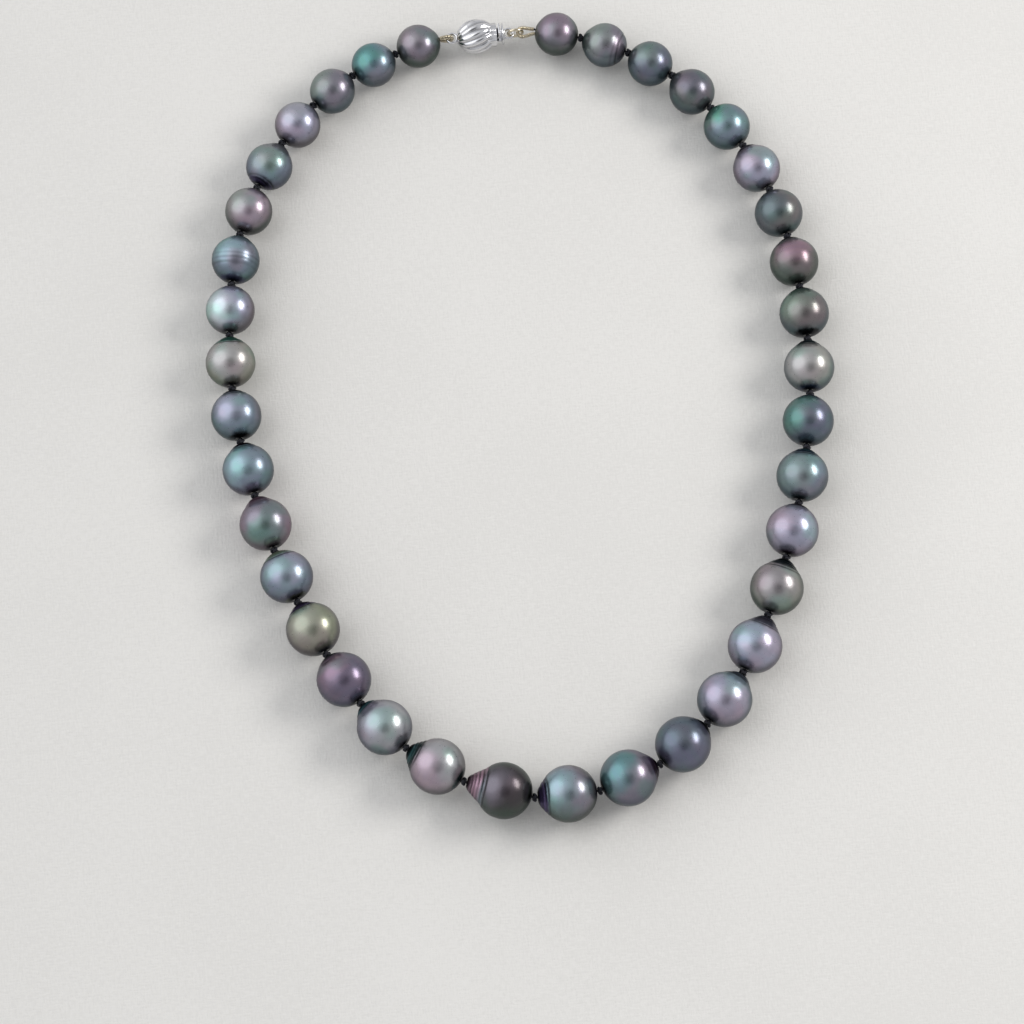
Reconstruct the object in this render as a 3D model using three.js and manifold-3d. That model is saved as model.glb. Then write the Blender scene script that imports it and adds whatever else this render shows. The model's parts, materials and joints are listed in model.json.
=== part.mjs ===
// A graduated strand of dark drilled pearls, knotted on one silk thread, with a fluted ball clasp.
// Millimetres, +Z up. The closed strand lies flat on Z = 0, its clasp at +Y and its centre pearl at -Y.
// Pearl 1 is beside the clasp's ball at -X, and the last pearl is beside the clasp's tongue at +X.

import * as THREE from "three";
import { mergeVertices } from "three/addons/utils/BufferGeometryUtils.js";
import Module from "manifold-3d";

const wasm = await Module();
wasm.setup();

// Pearls: round bodies whose diameter falls away from the centre pearl to both ends.
const centreDiameter = 11.0;
const endDiameter = 8.8;
const graduation = 0.9; // 1 is a straight taper; less keeps the sides fuller
const drillFaceDiameter = 2.0; // flat spot around each drilled hole
const tailShoulder = 0.7; // radians from the hole to where a tail leaves the round body
const tailHollow = 1.6; // above 1 the tail's flank is hollow
const pearlSides = 12;
const pearlRows = 6; // even, so that a ring of vertices lies on the belly

// Silk: one thread with a knot tied in it between each two pearls.
const threadDiameter = 0.6;
const threadClearance = 0.3; // from the thread to the wall of a bore
const threadSides = 8;
const knotGap = 1.2; // between the drilled faces of two neighbours
const knotDiameter = 1.9;
const knotLength = 0.7;
const knotSides = 6;
const knotRows = 4;
const knotStraight = 0.3; // thread on each side of a knot's centre where the bend is taken up

// Clearance between clasp pieces that hook through or slide past each other.
const hookClearance = 0.3;

// Gimp: coiled wire that guards the thread where it turns round a clasp loop.
const gimpDiameter = 0.8;
const gimpLegGap = 0.2; // between its two legs, where they meet the pearl
const gimpFaceGap = 0.6; // from the legs' ends to the drilled face, which is askew to them
const gimpReachBall = 1.7; // from the middle of its bend to the pearl's drilled face
const gimpReachTongue = 2.7;
const gimpSides = 8;
const gimpSteps = 22;

// Clasp loops and jump ring, all of one round wire.
const loopWire = 0.6;
const loopSink = 0.1; // how far an end loop is let into the piece that carries it
const ringSides = 8;
const ringSegments = 18;

// Clasp ball: a hollow shell with swirled flutes, a round mouth in a plain collar, and an end loop.
const ballDiameter = 7.0;
const ballLength = 8.2;
const ballWall = 0.6;
const fluteCount = 12;
const fluteDepth = 0.35;
const fluteTwist = 1.1; // radians from one end of the ball to the other
const facetsPerFlute = 3;
const ballRows = 9;
const cavityRows = 4;
const collarWall = 0.45;
const mouthClearance = 0.47; // from the tongue's lower corners to the mouth

// Clasp tongue: a cap with a lower leaf that enters the ball, and a sprung upper leaf with a tab.
const tongueLength = 3.4; // inside the ball
const leafWidth = 2.6;
const leafThickness = 0.4;
const leafDrop = 0.6; // of the lower leaf's middle below the clasp's axis
const springWidth = 2.2;
const springThickness = 0.35;
const springRise = 0.6; // of the upper leaf from the fold to the mouth
const tabThickness = 0.35;
const tabTravelSpace = 0.35; // behind the tab, before the cap
const tabStand = 0.45; // of the tab above the collar
const capThickness = 0.5;
const capOverlap = 0.2; // of the cap past the edge of the mouth
const capSides = 20;

// Half of the line that the closed strand lies along, from the centre pearl round to the clasp.
// Its shape counts and not its size: it is scaled until the strung pearls just close it.
const layHalf = [
  [0, 0],
  [13, 2.3],
  [24.8, 8.6],
  [34.2, 18],
  [41.6, 30],
  [51.6, 56],
  [57, 88],
  [52.6, 122],
  [37.5, 146.3],
  [19, 157.3],
  [0, 160.5],
];
const laySamples = 4000;
const settlingPasses = 30;

// Body colours of the pearls.
const tones = {
  mauve: 0x857c88,
  lilac: 0xaaa5b4,
  silver: 0xb3b3b6,
  champagne: 0xaba79f,
  steel: 0x8792a0,
  olive: 0x8d9188,
  petrol: 0x4c6266,
  peacock: 0x74708a,
  slate: 0x56566a,
  aubergine: 0x6a6372,
  green: 0x50605a,
  bronze: 0x5f5a55,
};

// The stringing, from the pearl beside the ball to the pearl beside the tongue: the body colour, and how
// far the tail stands out past the round body. Each tail points along the thread to its own clasp half.
const stringing = [
  { tone: "mauve", tail: 0.2 },
  { tone: "petrol", tail: 0.1 },
  { tone: "mauve", tail: 0.2 },
  { tone: "lilac", tail: 0.1 },
  { tone: "steel", tail: 0.5 },
  { tone: "lilac", tail: 0.1 },
  { tone: "petrol", tail: 0.3 },
  { tone: "lilac", tail: 0.1 },
  { tone: "silver", tail: 0.4 },
  { tone: "steel", tail: 0.3 },
  { tone: "steel", tail: 0.5 },
  { tone: "peacock", tail: 0.7 },
  { tone: "steel", tail: 0.2 },
  { tone: "olive", tail: 0.5 },
  { tone: "aubergine", tail: 0.3 },
  { tone: "silver", tail: 0.8 },
  { tone: "silver", tail: 1.1 },
  { tone: "mauve", tail: 1.9 },
  { tone: "mauve", tail: 0.5 },
  { tone: "mauve", tail: 0.7 },
  { tone: "slate", tail: 0.4 },
  { tone: "lilac", tail: 0.7 },
  { tone: "lilac", tail: 1.0 },
  { tone: "champagne", tail: 0.8 },
  { tone: "lilac", tail: 0.2 },
  { tone: "steel", tail: 0.4 },
  { tone: "petrol", tail: 0.2 },
  { tone: "olive", tail: 0.6 },
  { tone: "green", tail: 0.3 },
  { tone: "bronze", tail: 0.3 },
  { tone: "green", tail: 0.1 },
  { tone: "mauve", tail: 0.5 },
  { tone: "green", tail: 0.1 },
  { tone: "bronze", tail: 0.4 },
  { tone: "green", tail: 0.1 },
  { tone: "green", tail: 0.3 },
  { tone: "bronze", tail: 0.1 },
];

// Sizes that follow from the ones above.
const boreDiameter = threadDiameter + 2 * threadClearance;
const centreIndex = (stringing.length - 1) / 2;
const loopRadius = gimpDiameter / 2 + hookClearance + loopWire / 2;
const gimpBendRadius = loopRadius;
const jumpRingRadius = (gimpDiameter + loopWire + 3 * hookClearance + loopWire) / 2;
const mouthRadius = Math.hypot(leafWidth / 2, leafDrop + leafThickness / 2) + mouthClearance;
const collarRadius = mouthRadius + collarWall;
const tabNear = hookClearance; // in front of the mouth
const capNear = tabNear + tabThickness + tabTravelSpace;

const up = new THREE.Vector3(0, 0, 1);
const strand = new THREE.Group();

function toSolid(geometry) {
  const bare = geometry.clone();
  bare.deleteAttribute("normal");
  bare.deleteAttribute("uv");
  const merged = mergeVertices(bare, 1e-4);
  return new wasm.Manifold(
    new wasm.Mesh({
      numProp: 3,
      vertProperties: new Float32Array(merged.attributes.position.array),
      triVerts: new Uint32Array(merged.index.array),
    }),
  );
}

function joined(geometries) {
  let solid = toSolid(geometries[0]);
  for (const geometry of geometries.slice(1)) {
    solid = solid.add(toSolid(geometry));
  }
  const mesh = solid.getMesh();
  const result = new THREE.BufferGeometry();
  result.setAttribute("position", new THREE.BufferAttribute(mesh.vertProperties, 3));
  result.setIndex(new THREE.BufferAttribute(mesh.triVerts, 1));
  result.computeVertexNormals();
  return result;
}

// A turn that takes local +Y to the given direction and keeps local +Z as near to up as it can be.
function turnAlong(direction) {
  const side = new THREE.Vector3().crossVectors(direction, up).normalize();
  const top = new THREE.Vector3().crossVectors(side, direction);
  const basis = new THREE.Matrix4().makeBasis(side, direction, top);
  return new THREE.Quaternion().setFromRotationMatrix(basis);
}

function addPiece(name, geometry, material, origin, direction) {
  const mesh = new THREE.Mesh(geometry, material);
  mesh.name = name;
  mesh.position.copy(origin);
  mesh.quaternion.copy(turnAlong(direction));
  strand.add(mesh);
  return mesh;
}

// The pearls' sizes.

function pearlDiameter(index) {
  const share = Math.abs(index - centreIndex) / centreIndex;
  return endDiameter + (centreDiameter - endDiameter) * (1 - share) ** graduation;
}

const pearls = stringing.map((pearl, index) => {
  const radius = pearlDiameter(index) / 2;
  const drillAngle = Math.asin(drillFaceDiameter / 2 / radius);
  const bluntEnd = radius * Math.cos(drillAngle); // from the belly to the blunt end's drilled face
  return {
    ...pearl,
    radius,
    drillAngle,
    bluntEnd,
    length: 2 * bluntEnd + pearl.tail,
    tailStep: index <= centreIndex ? -1 : 1,
  };
});

// The clasp's layout, measured from the drilled face of the pearl beside the ball.

const gimpBallBend = gimpReachBall;
const ballLoopHole = gimpBallBend + loopRadius;
const ballPole = ballLoopHole + loopRadius - loopSink;
const ballMouth = ballPole + ballLength;
const tongueLoopHole = ballMouth + capNear + capThickness + loopRadius - loopSink;
const gimpTongueBend = tongueLoopHole + 2 * jumpRingRadius;
const claspSpan = gimpTongueBend + gimpReachTongue;

// The lay of the strand: where its links meet, which is at the knots.

function layLine(scale) {
  const right = layHalf.map(([x, y]) => new THREE.Vector3(x * scale, y * scale, 0));
  const left = right.slice(1, -1).map((point) => new THREE.Vector3(-point.x, point.y, 0));
  const points = [right.at(-1), ...left.reverse(), ...right.slice(0, -1)];
  const line = new THREE.CatmullRomCurve3(points, true, "centripetal");
  line.arcLengthDivisions = laySamples;
  return line;
}

// Each pearl is a straight link from knot to knot. The outer ends of the first and last are drilled faces.
const linkLengths = pearls.map((pearl, index) => {
  const knots = index === 0 || index === pearls.length - 1 ? 1 : 2;
  return pearl.length + (knots * knotGap) / 2;
});

function walk(line) {
  const total = line.getLength();
  const at = (distance) => line.getPointAt((distance / total) % 1);
  const start = { distance: claspSpan / 2 };
  for (let pass = 0; pass < settlingPasses; pass += 1) {
    start.distance += claspSpan / 2 + at(start.distance).x;
  }
  const ends = [at(start.distance)];
  let distance = start.distance;
  for (const length of linkLengths) {
    let next = distance + length;
    for (let pass = 0; pass < settlingPasses; pass += 1) {
      next += length - at(next).distanceTo(ends.at(-1));
    }
    ends.push(at(next));
    distance = next;
  }
  return { ends, overrun: (distance + start.distance) / total };
}

let layScale = 1;
let lay = walk(layLine(layScale));
for (let pass = 0; pass < settlingPasses; pass += 1) {
  layScale *= lay.overrun;
  lay = walk(layLine(layScale));
}

const linkEnds = lay.ends.map((end, index) => {
  const before = pearls[Math.max(index - 1, 0)].radius;
  const after = pearls[Math.min(index, pearls.length - 1)].radius;
  return new THREE.Vector3(end.x, end.y, (before + after) / 2);
});
const linkDirections = pearls.map((_, index) =>
  new THREE.Vector3().subVectors(linkEnds[index + 1], linkEnds[index]).normalize(),
);

// Pearls.

function pearlGeometry({ radius, drillAngle, tail }) {
  const bore = boreDiameter / 2;
  const outline = [];
  for (let row = 0; row <= pearlRows; row += 1) {
    const angle = Math.PI - drillAngle - (row / pearlRows) * (Math.PI - 2 * drillAngle);
    const fromShoulder = Math.max(Math.cos(angle) - Math.cos(tailShoulder), 0);
    const share = fromShoulder / (Math.cos(drillAngle) - Math.cos(tailShoulder));
    const along = radius * Math.cos(angle) + tail * share ** tailHollow;
    outline.push(new THREE.Vector2(radius * Math.sin(angle), along));
  }
  const bluntFace = outline[0].y;
  const tailFace = outline.at(-1).y;
  outline.push(new THREE.Vector2(bore, tailFace));
  outline.push(new THREE.Vector2(bore, bluntFace));
  outline.push(outline[0].clone());
  return new THREE.LatheGeometry(outline, pearlSides);
}

pearls.forEach((pearl, index) => {
  const tailwards = linkDirections[index].clone().multiplyScalar(pearl.tailStep);
  const bluntLinkEnd = pearl.tailStep < 0 ? linkEnds[index + 1] : linkEnds[index];
  const belly = bluntLinkEnd.clone().addScaledVector(tailwards, knotGap / 2 + pearl.bluntEnd);
  const material = new THREE.MeshStandardMaterial({
    color: tones[pearl.tone],
    roughness: 0.28,
    metalness: 0.25,
  });
  const name = `pearl_${String(index + 1).padStart(2, "0")}`;
  addPiece(name, pearlGeometry(pearl), material, belly, tailwards);
});

// Silk thread: straight through each bore, with each bend hidden in a knot.

class ThreadRoute extends THREE.Curve {
  constructor(points) {
    super();
    this.points = points;
  }

  getPoint(t, target = new THREE.Vector3()) {
    const place = t * (this.points.length - 1);
    const index = Math.min(Math.floor(place), this.points.length - 2);
    return target.lerpVectors(this.points[index], this.points[index + 1], place - index);
  }

  // One extrusion step to a stretch, whatever the stretch's length.
  getUtoTmapping(u) {
    return u;
  }
}

function roundSection(diameter) {
  return new THREE.Shape().absarc(0, 0, diameter / 2, 0, 2 * Math.PI);
}

const innerKnots = linkEnds.slice(1, -1);
const route = [linkEnds[0]];
innerKnots.forEach((knot, index) => {
  route.push(knot.clone().addScaledVector(linkDirections[index], -knotStraight));
  route.push(knot.clone().addScaledVector(linkDirections[index + 1], knotStraight));
});
route.push(linkEnds.at(-1));

const threadTube = new THREE.ExtrudeGeometry(roundSection(threadDiameter), {
  extrudePath: new ThreadRoute(route),
  steps: route.length - 1,
  curveSegments: threadSides / 2,
});

const threadKnots = innerKnots.map((knot, index) => {
  const along = linkDirections[index].clone().add(linkDirections[index + 1]).normalize();
  const geometry = new THREE.SphereGeometry(1, knotSides, knotRows);
  geometry.scale(knotDiameter / 2, knotLength / 2, knotDiameter / 2);
  geometry.applyQuaternion(turnAlong(along));
  geometry.translate(knot.x, knot.y, knot.z);
  return geometry;
});

const silk = new THREE.MeshStandardMaterial({ color: 0x0d0d10, roughness: 0.85, metalness: 0 });
const thread = new THREE.Mesh(joined([threadTube, ...threadKnots]), silk);
thread.name = "silk_thread";
strand.add(thread);

// Clasp. Each piece is made with local +Y along the clasp and local +Z up.

const claspStart = linkEnds[0];
const claspDirection = new THREE.Vector3().subVectors(linkEnds.at(-1), linkEnds[0]).normalize();

function claspPoint(along, height = 0) {
  return claspStart.clone().addScaledVector(claspDirection, along).addScaledVector(up, height);
}

const whiteMetal = { color: 0xc9ccd1, roughness: 0.18, metalness: 1 };
const coiledWire = { color: 0xb4b6ba, roughness: 0.4, metalness: 1 };

function wireRing(radius) {
  return new THREE.TorusGeometry(radius, loopWire / 2, ringSides, ringSegments);
}

// The gimp bends round local zero, in the local XY plane, with both legs towards a pearl at +Y.
function gimpGeometry(reach) {
  const legEnd = reach - gimpFaceGap;
  const legOffset = (gimpDiameter + gimpLegGap) / 2;
  const legMiddle = legEnd * 0.45;
  const middleOffset = (gimpBendRadius + legOffset) * 0.53;
  const points = [new THREE.Vector3(legOffset, legEnd, 0), new THREE.Vector3(middleOffset, legMiddle, 0)];
  for (let quarter = 0; quarter <= 4; quarter += 1) {
    const angle = (-quarter * Math.PI) / 4;
    points.push(new THREE.Vector3(gimpBendRadius * Math.cos(angle), gimpBendRadius * Math.sin(angle), 0));
  }
  points.push(new THREE.Vector3(-middleOffset, legMiddle, 0), new THREE.Vector3(-legOffset, legEnd, 0));
  return new THREE.ExtrudeGeometry(roundSection(gimpDiameter), {
    extrudePath: new THREE.CatmullRomCurve3(points),
    steps: gimpSteps,
    curveSegments: gimpSides / 2,
  });
}

function flutedShell() {
  const half = ballLength / 2;
  const radius = ballDiameter / 2;
  const cavityHalf = half - ballWall;
  const cavityRadius = radius - ballWall;
  const outline = [];
  const lastAngle = Math.PI - Math.asin(collarRadius / radius);
  for (let row = 0; row <= ballRows; row += 1) {
    const angle = (row / ballRows) * lastAngle;
    outline.push(new THREE.Vector2(radius * Math.sin(angle), -half * Math.cos(angle)));
  }
  outline.push(new THREE.Vector2(collarRadius, half));
  outline.push(new THREE.Vector2(mouthRadius, half));
  const cavityAngle = Math.PI - Math.asin(mouthRadius / cavityRadius);
  for (let row = cavityRows; row >= 0; row -= 1) {
    const angle = (row / cavityRows) * cavityAngle;
    outline.push(new THREE.Vector2(cavityRadius * Math.sin(angle), -cavityHalf * Math.cos(angle)));
  }
  const shell = new THREE.LatheGeometry(outline, fluteCount * facetsPerFlute);
  const places = shell.attributes.position;
  for (let vertex = 0; vertex < places.count; vertex += 1) {
    const row = vertex % outline.length;
    const column = Math.floor(vertex / outline.length);
    if (row > 0 && row < ballRows) {
      const angle = (row / ballRows) * lastAngle;
      const turn = (column / (fluteCount * facetsPerFlute)) * 2 * Math.PI - (fluteTwist * row) / ballRows;
      const groove = fluteDepth * Math.sin(angle) ** 2 * (0.5 - 0.5 * Math.cos(fluteCount * turn));
      const shrink = 1 - groove / outline[row].x;
      places.setX(vertex, places.getX(vertex) * shrink);
      places.setZ(vertex, places.getZ(vertex) * shrink);
    }
  }
  return shell;
}

// The ball's local zero is at its pole, on the end that carries the loop.
const shell = flutedShell().translate(0, ballLength / 2, 0);
const ballLoop = wireRing(loopRadius).translate(0, loopSink - loopRadius, 0);
const ball = joined([shell, ballLoop]);
addPiece("clasp_ball", ball, new THREE.MeshStandardMaterial(whiteMetal), claspPoint(ballPole), claspDirection);

// The tongue's local zero is at the middle of the mouth, with the leaves towards -Y.
const cap = new THREE.CylinderGeometry(mouthRadius + capOverlap, mouthRadius + capOverlap, capThickness, capSides);
cap.translate(0, capNear + capThickness / 2, 0);
const leafLength = tongueLength + capNear + capThickness / 2;
const leaf = new THREE.BoxGeometry(leafWidth, leafLength, leafThickness);
leaf.translate(0, leafLength / 2 - tongueLength, -leafDrop);
const tongueLoop = wireRing(loopRadius).translate(0, capNear + capThickness + loopRadius - loopSink, 0);
const tongue = joined([cap, leaf, tongueLoop]);
const tongueMetal = new THREE.MeshStandardMaterial(whiteMetal);
addPiece("clasp_tongue", tongue, tongueMetal, claspPoint(ballMouth), claspDirection);

// The upper leaf rises from the fold to the mouth and ends in the tab. Its side view is extruded.
const foldHeight = leafThickness / 2 - leafDrop + hookClearance;
const springOutline = new THREE.Shape();
springOutline.moveTo(-tongueLength, foldHeight);
springOutline.lineTo(tabNear + tabThickness, foldHeight + springRise);
springOutline.lineTo(tabNear + tabThickness, collarRadius + tabStand);
springOutline.lineTo(tabNear, collarRadius + tabStand);
springOutline.lineTo(tabNear, foldHeight + springRise + springThickness);
springOutline.lineTo(-tongueLength, foldHeight + springThickness);
springOutline.closePath();
const spring = new THREE.ExtrudeGeometry(springOutline, { depth: springWidth, bevelEnabled: false });
spring.translate(0, 0, -springWidth / 2);
spring.applyMatrix4(
  new THREE.Matrix4().makeBasis(
    new THREE.Vector3(0, 1, 0),
    new THREE.Vector3(0, 0, 1),
    new THREE.Vector3(1, 0, 0),
  ),
);
const springMetal = new THREE.MeshStandardMaterial(whiteMetal);
addPiece("clasp_spring", spring, springMetal, claspPoint(ballMouth), claspDirection);

// The jump ring stands upright, and the gimp on each side is square to what it hooks through.
const jumpRing = wireRing(jumpRingRadius).rotateY(Math.PI / 2);
const ringMetal = new THREE.MeshStandardMaterial(whiteMetal);
addPiece("jump_ring", jumpRing, ringMetal, claspPoint(tongueLoopHole + jumpRingRadius), claspDirection);

const ballward = claspDirection.clone().negate();
const gimpBall = gimpGeometry(gimpReachBall).rotateY(Math.PI / 2);
const gimpBallMetal = new THREE.MeshStandardMaterial(coiledWire);
addPiece("gimp_left", gimpBall, gimpBallMetal, claspPoint(gimpBallBend), ballward);

const gimpTongue = gimpGeometry(gimpReachTongue);
const gimpTongueMetal = new THREE.MeshStandardMaterial(coiledWire);
addPiece("gimp_right", gimpTongue, gimpTongueMetal, claspPoint(gimpTongueBend), claspDirection);

// The frame's origin is the middle of the underside.
const extent = new THREE.Box3().setFromObject(strand, true);
const middle = extent.getCenter(new THREE.Vector3());
strand.position.set(-middle.x, -middle.y, -extent.min.z);

const necklace = new THREE.Group();
necklace.name = "necklace";
necklace.add(strand);

// Where the pieces turn on each other, in the finished frame.
const placed = (point) => point.clone().add(strand.position).toArray();
necklace.userData = {
  layScale,
  knots: innerKnots.map(placed),
  drilledFaces: [linkEnds[0], linkEnds.at(-1)].map(placed),
  ballSwivel: placed(claspPoint(ballLoopHole)),
  ringSwivel: placed(claspPoint(gimpTongueBend)),
  tongueSwivel: placed(claspPoint(tongueLoopHole)),
  springFold: placed(claspPoint(ballMouth - tongueLength, foldHeight + springThickness / 2)),
};

export default necklace;
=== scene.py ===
import json
import math

import bmesh
import bpy
from mathutils import Matrix, Vector, noise


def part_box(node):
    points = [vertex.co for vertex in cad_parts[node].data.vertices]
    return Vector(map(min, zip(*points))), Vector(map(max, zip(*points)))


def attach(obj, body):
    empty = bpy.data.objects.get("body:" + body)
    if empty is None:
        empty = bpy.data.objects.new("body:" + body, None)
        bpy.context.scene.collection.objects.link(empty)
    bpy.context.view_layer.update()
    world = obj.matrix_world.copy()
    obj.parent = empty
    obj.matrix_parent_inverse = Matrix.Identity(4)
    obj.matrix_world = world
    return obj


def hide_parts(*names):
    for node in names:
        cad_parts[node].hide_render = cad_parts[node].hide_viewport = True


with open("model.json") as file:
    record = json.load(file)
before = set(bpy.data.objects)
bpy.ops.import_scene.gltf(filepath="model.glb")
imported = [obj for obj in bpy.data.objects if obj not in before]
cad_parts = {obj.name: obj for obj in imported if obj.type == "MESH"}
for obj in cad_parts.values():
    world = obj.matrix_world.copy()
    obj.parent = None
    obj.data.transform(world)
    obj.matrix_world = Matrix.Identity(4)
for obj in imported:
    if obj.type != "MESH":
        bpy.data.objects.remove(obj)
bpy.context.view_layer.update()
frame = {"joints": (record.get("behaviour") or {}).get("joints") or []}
jointAt = {joint["name"]: Vector(joint["pos_m"]) for joint in frame["joints"]}
print("packed necklace loaded")

# Tones of the nacre, the silk, the metal and the floor, as they look on screen.
tones = {
    "pearlWhite": (0.780, 0.830, 0.840),
    "silver": (0.650, 0.650, 0.665),
    "lilac": (0.610, 0.612, 0.690),
    "champagne": (0.625, 0.615, 0.600),
    "mauve": (0.505, 0.480, 0.530),
    "rose": (0.600, 0.480, 0.545),
    "blush": (0.630, 0.575, 0.625),
    "steel": (0.480, 0.530, 0.585),
    "ice": (0.560, 0.665, 0.705),
    "teal": (0.330, 0.530, 0.540),
    "emerald": (0.310, 0.540, 0.470),
    "sage": (0.500, 0.595, 0.530),
    "moss": (0.270, 0.345, 0.290),
    "umber": (0.265, 0.250, 0.262),
    "olive": (0.560, 0.580, 0.500),
    "petrol": (0.335, 0.415, 0.440),
    "slate": (0.400, 0.410, 0.480),
    "aubergine": (0.430, 0.395, 0.470),
    "bronze": (0.445, 0.420, 0.425),
    "violet": (0.400, 0.330, 0.500),
    "plum": (0.200, 0.140, 0.200),
    "indigo": (0.120, 0.140, 0.250),
    "pine": (0.090, 0.160, 0.160),
    "ink": (0.035, 0.035, 0.050),
    "silk": (0.060, 0.060, 0.072),
    "whiteMetal": (0.860, 0.860, 0.870),
    "paleGold": (0.830, 0.790, 0.700),
    "wornMetal": (0.500, 0.500, 0.520),
    "cloth": (0.862, 0.855, 0.842),
    "clothShade": (0.842, 0.835, 0.822),
}


def tone(name):  # screen colour to the shader's linear colour
    parts = tones[name]
    return tuple(((p + 0.055) / 1.055) ** 2.4 if p > 0.04 else p / 12.92 for p in parts) + (1.0,)


# where the strand runs, worked out from the knots' joints
stringing = {
    "pearls": 37,
    "lastLeftTail": 19,  # tails up to this pearl point to the clasp's ball, the others to its tongue
    "drillFace": 0.001,  # radius of the flat spot round a drilled hole
    "knotGap": 0.0012,
    "claspPivotToPearl": 0.0027,
}


def strandEnds():  # the places where neighbouring pearls' links meet, pearl by pearl
    reach = Vector((stringing["claspPivotToPearl"], 0, 0))
    ends = [jointAt["ball_swivel"] - reach]
    for number in range(1, stringing["pearls"]):
        ends.append(jointAt[f"knot_{number:02d}_{number + 1:02d}"])
    return ends + [jointAt["ring_swivel"] + reach]


def frameAlong(direction):  # local Y along the direction, local Z as near to up as it can be
    side = direction.cross(Vector((0, 0, 1))).normalized()
    return Matrix((side, direction, side.cross(direction))).transposed()


linkEnds = strandEnds()


def pearlPlace(number):
    node = f"pearl_{number:02d}"
    low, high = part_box(node)
    radius = (high.z - low.z) / 2
    start, end = linkEnds[number - 1], linkEnds[number]
    leftTail = number <= stringing["lastLeftTail"]
    blunt, tip = (end, start) if leftTail else (start, end)
    tailwards = (tip - blunt).normalized()
    drillAngle = math.asin(stringing["drillFace"] / radius)
    flat = radius * math.cos(drillAngle)
    knots = 1 if number in (1, stringing["pearls"]) else 2
    tail = (tip - blunt).length - knots * stringing["knotGap"] / 2 - 2 * flat
    return {
        "node": node,
        "radius": radius,
        "drillAngle": drillAngle,
        "tail": tail,
        "belly": blunt + tailwards * (stringing["knotGap"] / 2 + flat),
        "turn": frameAlong(tailwards),
        "ends": (blunt, tip),
    }


def spinOutline(outline, steps, closed):  # an outline of (across, along) turned about the Y axis
    bm = bmesh.new()
    points = [bm.verts.new((across, along, 0)) for across, along in outline]
    edges = [bm.edges.new(pair) for pair in zip(points, points[1:])]
    if closed:
        edges.append(bm.edges.new((points[-1], points[0])))
    bmesh.ops.spin(
        bm, geom=points + edges, cent=(0, 0, 0), axis=(0, 1, 0), dvec=(0, 0, 0),
        angle=2 * math.pi, steps=steps, use_merge=True,
    )
    bmesh.ops.remove_doubles(bm, verts=bm.verts, dist=1e-7)
    bmesh.ops.recalc_face_normals(bm, faces=bm.faces)
    return bm


def finishPiece(name, bm, material, body, nodes, place):
    bm.transform(place)
    for face in bm.faces:
        face.smooth = True
    mesh = bpy.data.meshes.new(name)
    bm.to_mesh(mesh)
    bm.free()
    mesh.materials.append(material)
    piece = bpy.data.objects.new(name, mesh)
    bpy.context.collection.objects.link(piece)
    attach(piece, body)
    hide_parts(*nodes)
    return piece


def tubeAlong(points, radius, sides, cyclic=False):  # a round tube through the points
    line = bpy.data.curves.new("tube", "CURVE")
    line.dimensions = "3D"
    line.bevel_depth = radius
    line.bevel_resolution = sides // 2 - 2
    line.use_fill_caps = not cyclic
    spline = line.splines.new("POLY")
    spline.points.add(len(points) - 1)
    for point, place in zip(spline.points, points):
        point.co = (*place, 1)
    spline.use_cyclic_u = cyclic
    holder = bpy.data.objects.new("tube", line)
    mesh = bpy.data.meshes.new_from_object(holder)
    bm = bmesh.new()
    bm.from_mesh(mesh)
    bpy.data.objects.remove(holder)
    bpy.data.curves.remove(line)
    bpy.data.meshes.remove(mesh)
    bmesh.ops.remove_doubles(bm, verts=bm.verts, dist=1e-7)
    bmesh.ops.recalc_face_normals(bm, faces=bm.faces)
    return bm


def addNode(tree, kind, **settings):
    node = tree.nodes.new(kind)
    for name, value in settings.items():
        setattr(node, name, value)
    return node


def feed(tree, target, value):
    if isinstance(value, bpy.types.NodeSocket):
        tree.links.new(value, target)
    else:
        target.default_value = value


def maths(tree, operation, *values):
    node = addNode(tree, "ShaderNodeMath", operation=operation)
    for target, value in zip(node.inputs, values):
        feed(tree, target, value)
    return node.outputs[0]


def stepBetween(tree, value, low, high, top=1.0):  # a smooth step from 0 at low to top at high
    node = addNode(tree, "ShaderNodeMapRange", interpolation_type="SMOOTHSTEP")
    feed(tree, node.inputs["Value"], value)
    feed(tree, node.inputs["From Min"], low)
    feed(tree, node.inputs["From Max"], high)
    feed(tree, node.inputs["To Max"], top)
    return node.outputs["Result"]


def mixTones(tree, share, first, second, blend="MIX"):
    node = addNode(tree, "ShaderNodeMix", data_type="RGBA", blend_type=blend)
    feed(tree, node.inputs[0], share)
    feed(tree, node.inputs[6], first)
    feed(tree, node.inputs[7], second)
    return node.outputs[2]


def noiseAt(tree, place, scale, detail=2.0, roughness=0.5):
    node = addNode(tree, "ShaderNodeTexNoise")
    feed(tree, node.inputs["Vector"], place)
    feed(tree, node.inputs["Scale"], scale)
    feed(tree, node.inputs["Detail"], detail)
    feed(tree, node.inputs["Roughness"], roughness)
    return node.outputs["Fac"]


def newGroup(name, inputs, outputs):
    group = bpy.data.node_groups.new(name, "ShaderNodeTree")
    for label, kind in inputs:
        group.interface.new_socket(label, in_out="INPUT", socket_type="NodeSocket" + kind)
    for label, kind in outputs:
        group.interface.new_socket(label, in_out="OUTPUT", socket_type="NodeSocket" + kind)
    entry = group.nodes.new("NodeGroupInput").outputs
    leave = group.nodes.new("NodeGroupOutput").inputs
    return group, entry, leave


def newMaterial(name, **settings):  # its uniform values sit on the shader itself
    material = bpy.data.materials.new(name)
    material.use_nodes = True
    tree = material.node_tree
    shader = tree.nodes["Principled BSDF"]
    for label, value in settings.items():
        shader.inputs[label.replace("_", " ")].default_value = value
    return material, tree, shader


def placeGroup(tree, group, **values):
    node = addNode(tree, "ShaderNodeGroup", node_tree=group)
    for label, value in values.items():
        feed(tree, node.inputs[label], value)
    return node


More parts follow.
